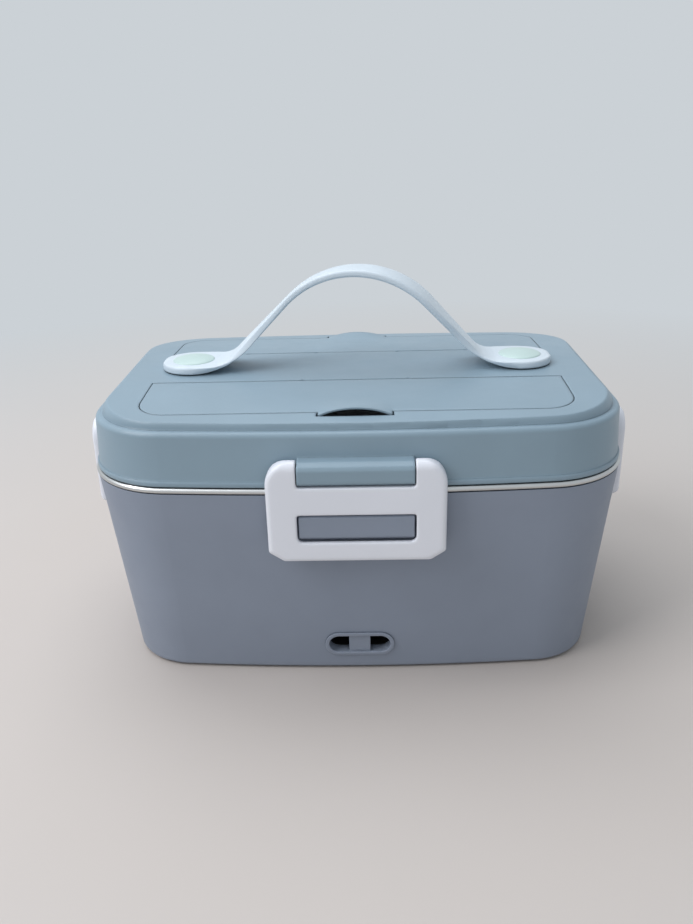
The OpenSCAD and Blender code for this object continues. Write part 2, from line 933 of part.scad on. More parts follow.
module front_latch() {
    color(LATCH_WHITE) on_front() opened() latch(long_latch_w, long_block_w);
}
module rear_latch() {
    color(LATCH_WHITE) on_rear() opened() latch(long_latch_w, long_block_w);
}
module left_latch() {
    color(LATCH_WHITE) on_left() opened() latch(short_latch_w, short_block_w);
}
module right_latch() {
    color(LATCH_WHITE) on_right() opened() latch(short_latch_w, short_block_w);
}
module front_latch_pin() { color(STEEL) on_front() latch_pin(long_latch_w); }
module rear_latch_pin() { color(STEEL) on_rear() latch_pin(long_latch_w); }
module left_latch_pin() { color(STEEL) on_left() latch_pin(short_latch_w); }
module right_latch_pin() { color(STEEL) on_right() latch_pin(short_latch_w); }

// ------------------------------------------------------------------- strap

// Where one face of the strap, offset from its centre line, would meet a
// level face at height z if its bend were sharp
function foot_corner(offset, z) =
    (strap_top_r + offset) * sin(strap_angle)
    + (strap_arc_z + (strap_top_r + offset) * cos(strap_angle) - z)
    / tan(strap_angle);

// One face of the strap in side view, from the middle of the arch out to an
// end pad's level face at height z. x is along the box, y is height.
function strap_face(offset, z, foot_r) =
    let (foot_x = foot_corner(offset, z) + foot_r * tan(strap_angle / 2))
    concat(
        [for (i = [0:bend_steps]) let (a = strap_angle * i / bend_steps) [
            (strap_top_r + offset) * sin(a),
            strap_arc_z + (strap_top_r + offset) * cos(a)
        ]],
        [for (i = [bend_steps:-1:0]) let (a = strap_angle * i / bend_steps) [
            foot_x - foot_r * sin(a),
            z + foot_r * (1 - cos(a))
        ]],
        [[pad_x, z]]
    );

strap_over = strap_face(strap_t / 2, pad_top_z - 0.4, strap_foot_r);
strap_under = strap_face(-strap_t / 2, pad_under_z, strap_lift_r);

// Closed side view of the whole strap: both faces, then their mirror images
module strap_view() {
    last = len(strap_over) - 1;
    polygon(concat(
        strap_over,
        [for (i = [last:-1:0]) strap_under[i]],
        [for (i = [1:last]) [-strap_under[i][0], strap_under[i][1]]],
        [for (i = [last:-1:1]) [-strap_over[i][0], strap_over[i][1]]]
    ));
}

// Side view of the space between the lid and the strap's lower face
module under_strap_view() {
    polygon(concat(strap_under, [
        [pad_x, pad_under_z - 1],
        [0, pad_under_z - 1]
    ]));
}

module strap_pad() {
    difference() {
        translate([pad_x, 0, pad_under_z]) rotate_extrude() {
            box2(0, pad_r - pad_round, 0, pad_top_z - pad_under_z);
            box2(0, pad_r, 0, pad_top_z - pad_under_z - pad_round);
            translate([pad_r - pad_round, pad_top_z - pad_under_z - pad_round])
                circle(r = pad_round);
        }
        rotate([90, 0, 0]) linear_extrude(3 * pad_r, center = true)
            under_strap_view();
    }
}

module carry_strap() {
    color(SOFT_WHITE) difference() {
        union() {
            rotate([90, 0, 0]) linear_extrude(strap_w, center = true)
                strap_view();
            for (m = [0, 1]) mirror([m, 0, 0]) strap_pad();
        }
        for (s = [-1, 1]) translate([s * pad_x, 0, 0]) {
            cylinder(r = screw_r + 0.1, h = far);
            translate([0, 0, cap_seat_z - 0.1]) cylinder(r = cap_r + 0.1, h = far);
        }
    }
}

module strap_caps() {
    dome_r = (cap_r * cap_r + cap_t * cap_t) / (2 * cap_t);
    color(SOFT_WHITE) for (s = [-1, 1]) translate([s * pad_x, 0, cap_seat_z]) {
        difference() {
            union() {
                cylinder(r = cap_r, h = 2);
                intersection() {
                    cylinder(r = cap_r, h = 10);
                    translate([0, 0, 2 + cap_t - dome_r])
                        sphere(r = dome_r, $fn = 180);
                }
            }
            translate([0, 0, -1]) cylinder(r = 3.2, h = 2.4);
        }
    }
}

module strap_screws() {
    color(STEEL) for (s = [-1, 1]) translate([s * pad_x, 0, 0]) {
        translate([0, 0, cap_seat_z - 0.1]) cylinder(r = 2.7, h = 1.2);
        translate([0, 0, crown_z - 6]) cylinder(r = screw_r, h = 8.5);
    }
}

// ------------------------------------------------------------------- nodes

outer_shell();
base_cover();
base_screws();
rubber_feet();
inner_liner();
heating_plate();
ptc_heater();
heater_clamp();
clamp_screws();
thermal_cutoff();
inlet_socket();
inlet_bezel();
inlet_pins();
heater_leads();
food_pot();
lid_shell();
lid_liner();
lid_gasket();
front_flap();
rear_flap();
front_flap_pin();
rear_flap_pin();
front_latch();
rear_latch();
left_latch();
right_latch();
front_latch_pin();
rear_latch_pin();
left_latch_pin();
right_latch_pin();
carry_strap();
strap_caps();
strap_screws();
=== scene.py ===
import json
import math

import bmesh
import bpy
from mathutils import Euler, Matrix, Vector


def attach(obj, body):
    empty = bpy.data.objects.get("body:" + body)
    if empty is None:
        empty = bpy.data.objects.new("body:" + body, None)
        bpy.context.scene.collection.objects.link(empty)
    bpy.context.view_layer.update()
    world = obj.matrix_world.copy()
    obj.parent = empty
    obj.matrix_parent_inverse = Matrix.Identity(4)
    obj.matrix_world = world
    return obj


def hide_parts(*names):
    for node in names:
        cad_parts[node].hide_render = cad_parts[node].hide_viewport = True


# Looks of an electric lunch box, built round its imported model. Metres throughout.
#
# The CAD nodes keep their places and meshes. They get materials here, and some get
# modifiers: the latches and the strap's caps are rounded, and the doors get the finger
# lips that the photograph shows. Only the strap is a new piece, because the photograph
# shows it pulled up and leaning.

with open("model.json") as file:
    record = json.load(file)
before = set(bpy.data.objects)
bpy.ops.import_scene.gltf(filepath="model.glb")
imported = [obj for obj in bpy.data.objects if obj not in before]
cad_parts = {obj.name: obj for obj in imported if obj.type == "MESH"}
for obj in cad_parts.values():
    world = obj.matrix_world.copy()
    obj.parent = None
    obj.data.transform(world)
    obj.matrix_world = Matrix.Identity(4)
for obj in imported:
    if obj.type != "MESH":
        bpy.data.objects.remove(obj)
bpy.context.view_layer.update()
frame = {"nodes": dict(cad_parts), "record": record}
nodes = frame["nodes"]
scene = bpy.context.scene

MM = 0.001

# Camera, fitted to the photograph: place, turn about the vertical, downward
# pitch, roll, and a focal length for a 36 mm long side
CAMERA_AT = Vector((5.336, -400.954, 243.824)) * MM
CAMERA_YAW = math.radians(1.6156)
CAMERA_PITCH = math.radians(22.703)
CAMERA_ROLL = math.radians(-1.5439)
CAMERA_LENS = 32.916
CAMERA_NEAR = 0.01

# Rounding of the moulded pieces: grid of the fine remesh, and passes of smoothing
LATCH_VOXEL = 0.45 * MM
LATCH_PASSES = 14
CAP_VOXEL = 0.4 * MM
CAP_PASSES = 8
SMOOTH_FACTOR = 0.5

# Each latch with its pin's middle, the way the pin runs and half the latch's width
LATCHES = (
    ("front_latch", (0, -82.7 * MM, 107.8 * MM), "X", 37.75 * MM),
    ("rear_latch", (0, 82.7 * MM, 107.8 * MM), "X", 37.75 * MM),
    ("left_latch", (-122.2 * MM, 0, 107.8 * MM), "Y", 29 * MM),
    ("right_latch", (122.2 * MM, 0, 107.8 * MM), "Y", 29 * MM),
)

# Plugs that close the ends of a latch's bore: how deep inside the latch's side a plug
# starts and ends, and its form
PLUG_INSETS = (4.8 * MM, 3.1 * MM)
PLUG_RADIUS = 1.45 * MM
PLUG_SIDES = 20

# How far a latch pin's faces are drawn in, to stay inside the plugs. The CAD mesh keeps
# its barrel and ends apart, so they part here, where the plugs hide it.
PIN_SHRINK = 0.7 * MM

# The lid's crown, an arc across the lid, and the front door that follows it
LID_TOP = 128 * MM
LID_CROWN = 740 * MM
DOOR_THICK = 1.8 * MM
DOOR_FRONT = -62.6 * MM

# The room that is cut out of a door for its finger lip
LIP_HALF = 16 * MM
LIP_BACK = -47 * MM
LIP_ROOM_AHEAD = 8 * MM
LIP_ROOM_ABOVE = 9 * MM

# The lip's form. It reaches past the door's front edge, most at its corners, arches up
# and thins out towards its front, and overlaps the door by a hair where it joins it.
LIP_REACH = 2.4 * MM
LIP_CORNER_REACH = 0.9 * MM
LIP_CORNER_POWER = 4
LIP_SIDE = 15.75 * MM
LIP_HEIGHT = 2.8 * MM
LIP_FALL_POWER = 1.6
LIP_EDGE = 0.8 * MM
LIP_THICKENING = 2
LIP_END_POWER = 8
LIP_OVERLAP = 0.02 * MM
LIP_STEPS = (32, 20)
SHARP_ANGLE = math.radians(25)

# The strap in side view, from its CAD: flat pads, bent legs and a round arch
PAD_X = 79.5 * MM
PAD_RADIUS = 15 * MM
PAD_UNDER = LID_TOP + 0.1 * MM
PAD_TOP = LID_TOP + 3.9 * MM
PAD_ROUND = 1.6 * MM
PAD_NECK = 34 * MM
STRAP_HALF = 9.5 * MM
STRAP_THICK = 3.3 * MM
STRAP_ROUND = 1.3 * MM
STRAP_SLOPE = math.radians(46)
ARCH_RADIUS = 47 * MM
ARCH_CENTRE_Z = LID_TOP + 47.2 * MM - STRAP_THICK / 2 - ARCH_RADIUS
UPPER_FOOT_RADIUS = 14 * MM
LOWER_FOOT_RADIUS = 40 * MM
ARCH_STEPS = 60
LEG_STEPS = 24
FLAT_STEPS = 14
PAD_STEPS = 12
PAD_ROUND_STEPS = 6
PAD_TIP_HALF = 0.3 * MM
CORNER_STEPS = 6
CORNER_SHARE = 0.9

# How far the strap's arch is turned about the vertical and moved along the box, and the
# height above its pads over which both fade in
STRAP_TURN = math.radians(-7.5)
STRAP_SHIFT = 1.2 * MM
STRAP_TURN_OVER = 36 * MM

# The floor, and the distances from the box over which it fades into the wall's colour
FLOOR_HALF = 3.0
FADE_FROM = 0.2
FADE_TO = 0.75

# Lamps aimed at the middle of the box: name, place, size, watts and colour
LAMP_AIM = Vector((0, 0, 0.08))
LAMPS = (
    ("key", (-1.1, -0.5, 1.2), 1.0, 15, (252, 252, 255)),
    ("top", (-0.3, 0.5, 1.5), 1.4, 13, (244, 249, 255)),
    ("front", (-0.4, -1.6, 0.8), 1.2, 1.2, (250, 252, 255)),
)
SKY_STRENGTH = 0.55

# Colours as seen on screen, 0 to 255
LID_BLUE = (134, 155, 168)
CASING_BLUE = (134, 143, 158)
LATCH_WHITE = (226, 228, 235)
STRAP_WHITE = (206, 217, 225)
CAP_WHITE = (188, 209, 205)
LINER_GREY = (186, 192, 198)
FLOOR = (196, 188, 182)
WALL = (203, 209, 214)
SKY = (236, 242, 248)
STEEL = (206, 207, 206)
ALUMINIUM = (190, 192, 194)
BLACK = (22, 22, 24)
RUBBER = (52, 53, 55)
BRASS = (196, 164, 96)
LEAD_RED = (150, 36, 30)


def linear(colour):
    """An on-screen colour as the linear values that a shader takes."""
    out = []
    for value in colour:
        share = value / 255
        out.append(share / 12.92 if share <= 0.04045 else ((share + 0.055) / 1.055) ** 2.4)
    return (*out, 1.0)


# ---------------------------------------------------------------- materials


# The values between which a finish changes: most of Blender's noise lies from LOW to
# HIGH, ambient occlusion for painted shade falls from OPEN to DEEP in a crevice, and the
# bevelled normal for painted edge highlights turns away from the true one from FLAT to SHARP
NOISE_LOW, NOISE_MIDDLE, NOISE_HIGH = 0.3, 0.5, 0.7
CREVICE_SHADE_DEEP, CREVICE_SHADE_OPEN = 0.15, 0.75
EDGE_SHARP, EDGE_FLAT = 0.86, 0.985


class Finish:
    """A Principled material with object-space noise for tone, gloss and grain, and painted shade
    and highlights.
    """

    def __init__(self, name, colour, roughness, metallic=0.0):
        self.material = bpy.data.materials.new(name)
        self.material.use_nodes = True
        self.tree = self.material.node_tree
        self.shader = self.tree.nodes["Principled BSDF"]
        self.shader.inputs["Base Color"].default_value = linear(colour)
        self.shader.inputs["Roughness"].default_value = roughness
        self.shader.inputs["Metallic"].default_value = metallic
        self.colour = linear(colour)
        self.roughness = roughness
        self.coordinates = self.node("ShaderNodeTexCoord")
        self.tone_end = None
        self.bump_end = None

    def node(self, kind, **settings):
        """A new shader node with the given settings."""
        made = self.tree.nodes.new(kind)
        for key, value in settings.items():
            setattr(made, key, value)
        return made

    def link(self, source, target):
        self.tree.links.new(source, target)

    def noise(self, size, detail=4.0, stretch=(1, 1, 1)):
        """Noise whose blotches are about `size` metres across."""
        mapping = self.node("ShaderNodeMapping")
        mapping.inputs["Scale"].default_value = stretch
        self.link(self.coordinates.outputs["Object"], mapping.inputs["Vector"])
        texture = self.node("ShaderNodeTexNoise")
        texture.inputs["Scale"].default_value = 1 / size
        texture.inputs["Detail"].default_value = detail
        self.link(mapping.outputs["Vector"], texture.inputs["Vector"])
        return texture.outputs["Fac"]

    def ranged(self, value, low, high, start=NOISE_LOW, end=NOISE_HIGH):
        """Maps value from start..end to low..high."""
        span = self.node("ShaderNodeMapRange")
        span.inputs["From Min"].default_value = start
        span.inputs["From Max"].default_value = end
        span.inputs["To Min"].default_value = low
        span.inputs["To Max"].default_value = high
        self.link(value, span.inputs["Value"])
        return span.outputs["Result"]

    def scaled(self, share):
        """The finish's colour, lighter or darker by a share of itself."""
        return [min(1, c * share) for c in self.colour[:3]] + [1]

    def blend_tone(self, factor, share):
        """Blends the tone towards the scaled colour, all the way where the factor is 1."""
        mix = self.node("ShaderNodeMix", data_type="RGBA")
        mix.inputs["A"].default_value = self.colour
        mix.inputs["B"].default_value = self.scaled(share)
        if self.tone_end is not None:
            self.link(self.tone_end, mix.inputs["A"])
        self.link(factor, mix.inputs["Factor"])
        self.tone_end = mix.outputs["Result"]
        self.link(self.tone_end, self.shader.inputs["Base Color"])

    def mottle(self, size, amount):
        """Varies the tone by `amount` either way over patches of `size`."""
        lighter = self.ranged(self.noise(size), 0, 1, NOISE_MIDDLE, NOISE_HIGH)
        self.blend_tone(lighter, 1 + amount)
        darker = self.ranged(self.noise(size), 1, 0, NOISE_LOW, NOISE_MIDDLE)
        self.blend_tone(darker, 1 - amount)

    def paint_crevice_shade(self, reach, share):
        """Paints shade into seams and inner corners that other faces crowd within `reach` metres.
        """
        shade = self.node("ShaderNodeAmbientOcclusion", samples=8)
        shade.inputs["Distance"].default_value = reach
        depth = self.ranged(shade.outputs["AO"], 1, 0, CREVICE_SHADE_DEEP, CREVICE_SHADE_OPEN)
        self.blend_tone(depth, share)

    def paint_edge_highlight(self, share):
        """Paints a highlight along outer edges by lightening the tone there."""
        flat = self.node("ShaderNodeNewGeometry")
        turn = self.node("ShaderNodeVectorMath", operation="DOT_PRODUCT")
        self.link(flat.outputs["Normal"], turn.inputs[0])
        self.link(self.bump_end, turn.inputs[1])
        edge = self.ranged(turn.outputs["Value"], 1, 0, EDGE_SHARP, EDGE_FLAT)
        self.blend_tone(edge, share)

    def gloss(self, size, amount):
        """Varies the roughness by `amount` either way over patches of `size`."""
        low = self.roughness - amount
        high = self.roughness + amount
        self.link(self.ranged(self.noise(size), low, high), self.shader.inputs["Roughness"])

    def grain(self, size, height, stretch=(1, 1, 1), detail=3.0):
        """Adds a bump of `height` metres with grains of `size` metres."""
        bump = self.node("ShaderNodeBump")
        bump.inputs["Strength"].default_value = 1.0
        bump.inputs["Distance"].default_value = height
        self.link(self.noise(size, detail, stretch), bump.inputs["Height"])
        if self.bump_end is not None:
            self.link(self.bump_end, bump.inputs["Normal"])
        self.bump_end = bump.outputs["Normal"]
        self.link(self.bump_end, self.shader.inputs["Normal"])

    def round_edges(self, radius):
        """Lets sharp edges catch the light as moulded ones do."""
        bevel = self.node("ShaderNodeBevel", samples=6)
        bevel.inputs["Radius"].default_value = radius
        self.bump_end = bevel.outputs["Normal"]
        self.link(self.bump_end, self.shader.inputs["Normal"])


def plastic(name, colour, roughness, depth=0.00002, edge=0.0006, mottle=0.03,
            crevice_shade=(0.0009, 0.3), edge_highlight=1.12):
    """Moulded plastic: a fine eroded grain of the given depth on a slightly wavy wall."""
    finish = Finish(name, colour, roughness)
    finish.round_edges(edge)
    finish.mottle(size=0.03, amount=mottle)
    # painted highlight: the tone lightens along outer edges
    finish.paint_edge_highlight(edge_highlight)
    # painted shade: the tone darkens in seams and inner corners
    finish.paint_crevice_shade(*crevice_shade)
    finish.gloss(size=0.012, amount=0.05)
    finish.grain(size=0.00035, height=depth)
    finish.grain(size=0.02, height=0.00012)
    return finish.material


def soft_white(name, colour):
    """Soft silicone rubber, a little translucent."""
    finish = Finish(name, colour, roughness=0.42)
    finish.shader.inputs["Subsurface Weight"].default_value = 0.15
    finish.shader.inputs["Subsurface Radius"].default_value = (0.004, 0.004, 0.004)
    finish.shader.inputs["Subsurface Scale"].default_value = 0.5
    finish.mottle(size=0.02, amount=0.02)
    # painted shade: the tone darkens in seams and inner corners
    finish.paint_crevice_shade(reach=0.0016, share=0.45)
    finish.gloss(size=0.01, amount=0.06)
    finish.grain(size=0.0008, height=0.000003)
    return finish.material


def metal(name, colour, roughness, stretch=(1, 1, 1)):
    """Brushed metal, whose grain is drawn out by the stretch."""
    finish = Finish(name, colour, roughness, metallic=1.0)
    finish.round_edges(radius=0.0003)
    finish.mottle(size=0.015, amount=0.02)
    # painted highlight: the tone lightens along the metal's edges
    finish.paint_edge_highlight(share=1.1)
    finish.gloss(size=0.02, amount=0.02)
    finish.grain(size=0.0012, height=0.000001, stretch=stretch)
    return finish.material


def rubber(name, colour):
    """Dull rubber or wire insulation."""
    finish = Finish(name, colour, roughness=0.75)
    finish.mottle(size=0.01, amount=0.12)
    finish.gloss(size=0.005, amount=0.08)
    finish.grain(size=0.0005, height=0.00003)
    return finish.material


MATERIALS = {
    "lid_plastic": plastic("lid_plastic", LID_BLUE, 0.38, edge=0.0016),
    "casing_plastic": plastic("casing_plastic", CASING_BLUE, 0.5, depth=0.00003),
    "latch_plastic": plastic("latch_plastic", LATCH_WHITE, 0.34, depth=0.00001, mottle=0.012),
    "cap_plastic": plastic("cap_plastic", CAP_WHITE, 0.34, depth=0.00001, mottle=0.012),
    "strap_rubber": soft_white("strap_rubber", STRAP_WHITE),
    "gasket_silicone": soft_white("gasket_silicone", STRAP_WHITE),
    "foot_rubber": rubber("foot_rubber", RUBBER),
    "liner_plastic": plastic("liner_plastic", LINER_GREY, 0.5),
    "dark_plastic": plastic("dark_plastic", BLACK, 0.55),
    "lead_insulation": rubber("lead_insulation", LEAD_RED),
    "pot_steel": metal("pot_steel", STEEL, 0.37, stretch=(1, 1, 9)),
    "plate_aluminium": metal("plate_aluminium", ALUMINIUM, 0.42),
    "pin_steel": metal("pin_steel", STEEL, 0.33, stretch=(1, 6, 6)),
    "screw_steel": metal("screw_steel", ALUMINIUM, 0.36),
    "pin_brass": metal("pin_brass", BRASS, 0.3),
}

for part in frame["record"]["subparts"]:
    mesh = nodes[part["node"]].data
    mesh.materials.clear()
    mesh.materials.append(MATERIALS[part["material_slot"]])

# The inlet's ring is glossier than the casing; its edges get a strong painted highlight, its
# recesses deep painted shade
nodes["inlet_bezel"].data.materials[0] = plastic(
    "inlet_plastic", CASING_BLUE, 0.4, edge=0.0008, crevice_shade=(0.005, 0.05), edge_highlight=1.5)


# ------------------------------------------------------------------- pieces


def add_object(name, data):
    """A new object in the scene."""
    made = bpy.data.objects.new(name, data)
    scene.collection.objects.link(made)
    return made


def soften(obj, voxel, passes):
    """Rounds every edge of a piece, as moulding does, by a fine remesh and smoothing."""
    remesh = obj.modifiers.new("remesh", "REMESH")
    remesh.mode = "VOXEL"
    remesh.voxel_size = voxel
    remesh.use_smooth_shade = True
    smooth = obj.modifiers.new("smooth", "SMOOTH")
    smooth.factor = SMOOTH_FACTOR
    smooth.iterations = passes


def face_outwards(mesh):
    """Turns every face of a closed mesh to its outside."""
    shape = bmesh.new()
    shape.from_mesh(mesh)
    bmesh.ops.recalc_face_normals(shape, faces=shape.faces)
    shape.to_mesh(mesh)
    shape.free()


def hidden_helper(name, points, faces, body, turned=False):
    """A closed mesh that only a modifier uses; `turned` puts it on the rear door."""
    mesh = bpy.data.meshes.new(name)
    side = -1 if turned else 1
    mesh.from_pydata([(side * x, side * y, z) for x, y, z in points], [], faces)
    face_outwards(mesh)
    helper = add_object(name, mesh)
    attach(helper, body)
    helper.hide_render = True
    return helper


def boolean(node, name, operation, helper):
    """Cuts a helper's form from a CAD node, or joins it on."""
    modifier = nodes[node].modifiers.new(name, "BOOLEAN")
    modifier.operation = operation
    modifier.solver = "EXACT"
    modifier.object = helper


def close_bore(latch, body, pin_at, along, half_width):
    """Closes the ends of a latch's bore, which its rounded corners would open."""
    points, faces = [], []
    for side in (-1, 1):
        first = len(points)
        for inset in PLUG_INSETS:
            reach = side * (half_width - inset)
            for i in range(PLUG_SIDES):
                turn = 2 * math.pi * i / PLUG_SIDES
                across, up = PLUG_RADIUS * math.cos(turn), PLUG_RADIUS * math.sin(turn)
                offset = (reach, across, up) if along == "X" else (across, reach, up)
                points.append(tuple(Vector(pin_at) + Vector(offset)))
        inner = [first + i for i in range(PLUG_SIDES)]
        outer = [i + PLUG_SIDES for i in inner]
        faces += [tuple(inner), tuple(outer)]
        faces += [(inner[i - 1], inner[i], outer[i], outer[i - 1]) for i in range(PLUG_SIDES)]
    boolean(latch, "plug", "UNION", hidden_helper(latch + "_plug", points, faces, body))
    shrink = nodes[latch + "_pin"].modifiers.new("shrink", "DISPLACE")
    shrink.strength = -PIN_SHRINK
    shrink.mid_level = 0


def crown_height(y):
    """Height of the lid's crowned top at a distance along Y."""
    return LID_TOP - LID_CROWN + math.sqrt(LID_CROWN ** 2 - y ** 2)


def lip_cutter(name, body, turned):
    """A block over the piece of door that the finger lip takes the place of."""
    x0, x1, y0, y1 = -LIP_HALF, LIP_HALF, DOOR_FRONT - LIP_ROOM_AHEAD, LIP_BACK
    z0, z1 = LID_TOP - LIP_ROOM_ABOVE, LID_TOP + LIP_ROOM_ABOVE
    points = [(x, y, z) for x in (x0, x1) for y in (y0, y1) for z in (z0, z1)]
    faces = [(0, 1, 3, 2), (4, 6, 7, 5), (0, 4, 5, 1), (2, 3, 7, 6), (0, 2, 6, 4), (1, 5, 7, 3)]
    return hidden_helper(name, points, faces, body, turned)


def lip_form(name, body, turned):
    """The finger lip: a stretch of door that arches up towards its front edge.

    Its points lie on a grid, from side to side and from the front edge (0) to the back.
    """
    across, along = LIP_STEPS
    upper, lower = [], []
    for i in range(across + 1):
        u = 2 * i / across - 1
        arch = 1 - u * u
        front = DOOR_FRONT - LIP_REACH - LIP_CORNER_REACH * u ** LIP_CORNER_POWER
        for j in range(along + 1):
            share = j / along
            y = front + (LIP_BACK + LIP_OVERLAP - front) * share
            x = u * (LIP_SIDE if y < DOOR_FRONT else LIP_HALF + LIP_OVERLAP)
            rise = LIP_HEIGHT * arch * (1 - share) ** LIP_FALL_POWER
            full = max(share * LIP_THICKENING, u ** LIP_END_POWER)
            thick = min(LIP_EDGE + (DOOR_THICK - LIP_EDGE) * full, DOOR_THICK)
            upper.append((x, y, crown_height(y) + rise))
            lower.append((x, y, crown_height(y) + rise - thick))
    row, below = along + 1, len(upper)
    faces = []
    for i in range(across):
        for j in range(along):
            a, b, c, d = i * row + j, (i + 1) * row + j, (i + 1) * row + j + 1, i * row + j + 1
            faces.append((a, b, c, d))
            faces.append((a + below, d + below, c + below, b + below))
    for i in range(across):
        for j in (0, along):
            a, b = i * row + j, (i + 1) * row + j
            faces.append((a, a + below, b + below, b))
    for j in range(along):
        for i in (0, across):
            a, b = i * row + j, i * row + j + 1
            faces.append((a, b, b + below, a + below))
    return hidden_helper(name, upper + lower, faces, body, turned)


def angle_shading():
    """A modifier's node group: smooth faces, parted where they meet at a sharp angle."""
    group = bpy.data.node_groups.new("angle_shading", "GeometryNodeTree")
    for way in ("INPUT", "OUTPUT"):
        group.interface.new_socket("Geometry", in_out=way, socket_type="NodeSocketGeometry")
    start = group.nodes.new("NodeGroupInput")
    end = group.nodes.new("NodeGroupOutput")
    plain = group.nodes.new("GeometryNodeRemoveAttribute")
    plain.inputs["Name"].default_value = "custom_normal"
    faces = group.nodes.new("GeometryNodeSetShadeSmooth")
    faces.domain = "FACE"
    angle = group.nodes.new("GeometryNodeInputMeshEdgeAngle")
    sharp = group.nodes.new("FunctionNodeCompare")
    sharp.operation = "GREATER_THAN"
    sharp.inputs["B"].default_value = SHARP_ANGLE
    edges = group.nodes.new("GeometryNodeSetShadeSmooth")
    edges.domain = "EDGE"
    edges.inputs["Shade Smooth"].default_value = False
    group.links.new(start.outputs["Geometry"], plain.inputs["Geometry"])
    group.links.new(plain.outputs["Geometry"], faces.inputs["Geometry"])
    group.links.new(faces.outputs["Geometry"], edges.inputs["Geometry"])
    group.links.new(angle.outputs["Unsigned Angle"], sharp.inputs["A"])
    group.links.new(sharp.outputs["Result"], edges.inputs["Selection"])
    group.links.new(edges.outputs["Geometry"], end.inputs["Geometry"])
    return group


def shape_lip(door, body, shading, turned):
    """Cuts the middle of a door's front edge away and joins the finger lip on there."""
    boolean(door, "clear", "DIFFERENCE", lip_cutter(door + "_lip_room", body, turned))
    boolean(door, "lip", "UNION", lip_form(door + "_lip", body, turned))
    nodes[door].modifiers.new("shading", "NODES").node_group = shading


def smoothstep(value, low, high):
    """A soft step from 0 at low to 1 at high."""
    share = min(1, max(0, (value - low) / (high - low)))
    return share * share * (3 - 2 * share)


def strap_face(offset, level, foot_radius):
    """One face of the strap in side view, as (x, z) from the arch's top to the pad's centre."""
    angle = STRAP_SLOPE
    radius = ARCH_RADIUS + offset
    corner = radius * math.sin(angle)
    corner += (ARCH_CENTRE_Z + radius * math.cos(angle) - level) / math.tan(angle)
    foot_x = corner + foot_radius * math.tan(angle / 2)
    arch = [angle * i / ARCH_STEPS for i in range(ARCH_STEPS + 1)]
    points = [(radius * math.sin(a), ARCH_CENTRE_Z + radius * math.cos(a)) for a in arch]
    top, foot = points[-1], (foot_x - foot_radius * math.sin(angle),
                             level + foot_radius * (1 - math.cos(angle)))
    for i in range(1, LEG_STEPS):
        share = i / LEG_STEPS
        points.append(tuple(p + (q - p) * share for p, q in zip(top, foot)))
    bend = [angle * i / ARCH_STEPS for i in range(ARCH_STEPS, -1, -1)]
    points += [(foot_x - foot_radius * math.sin(a), level + foot_radius * (1 - math.cos(a)))
               for a in bend]
    flat = PAD_X - foot_x
    points += [(foot_x + flat * i / FLAT_STEPS, level) for i in range(1, FLAT_STEPS + 1)]
    return points


def strap_stations():
    """Cross-sections along half the strap, as (upper point, lower point, half width)."""
    upper = strap_face(STRAP_THICK / 2, PAD_TOP, UPPER_FOOT_RADIUS)
    lower = strap_face(-STRAP_THICK / 2, PAD_UNDER, LOWER_FOOT_RADIUS)
    stations = []
    for high, low in zip(upper, lower):
        middle = (high[0] + low[0]) / 2
        spread = smoothstep(middle, PAD_X - PAD_NECK, PAD_X)
        stations.append((high, low, STRAP_HALF + (PAD_RADIUS - STRAP_HALF) * spread))
    for i in range(1, PAD_STEPS + 1):
        out = (PAD_RADIUS - PAD_ROUND) * math.sin(math.pi / 2 * i / PAD_STEPS)
        width = math.sqrt(PAD_RADIUS ** 2 - out ** 2)
        stations.append(((PAD_X + out, PAD_TOP), (PAD_X + out, PAD_UNDER), width))
    for i in range(1, PAD_ROUND_STEPS + 1):
        turn = math.pi / 2 * i / PAD_ROUND_STEPS
        out = PAD_RADIUS - PAD_ROUND * (1 - math.sin(turn))
        inset = PAD_ROUND * (1 - math.cos(turn))
        width = max(PAD_TIP_HALF, math.sqrt(max(0, PAD_RADIUS ** 2 - out ** 2)))
        stations.append(((PAD_X + out, PAD_TOP - inset), (PAD_X + out, PAD_UNDER + inset), width))
    return stations


def strap_ring(high, low, half_width):
    """One rounded cross-section of the strap, as points in the row frame."""
    high, low = Vector((high[0], 0, high[1])), Vector((low[0], 0, low[1]))
    half = (high - low).length / 2
    up = (high - low).normalized()
    centre = (high + low) / 2
    corner = min(STRAP_ROUND, CORNER_SHARE * half, CORNER_SHARE * half_width)
    ring = []
    for side, level, start in ((1, 1, 0), (-1, 1, 90), (-1, -1, 180), (1, -1, 270)):
        for i in range(CORNER_STEPS + 1):
            turn = math.radians(start + 90 * i / CORNER_STEPS)
            across = side * (half_width - corner) + corner * math.cos(turn)
            along = level * (half - corner) + corner * math.sin(turn)
            ring.append(centre + Vector((0, across, 0)) + up * along)
    return ring


def lean(point):
    """Turns and moves a point of the strap's arch, fading out towards the pads."""
    rise = smoothstep(point.z - PAD_TOP, 0, STRAP_TURN_OVER)
    turn = STRAP_TURN * rise
    return Vector((
        point.x * math.cos(turn) - point.y * math.sin(turn) + STRAP_SHIFT * rise,
        point.x * math.sin(turn) + point.y * math.cos(turn),
        point.z,
    ))


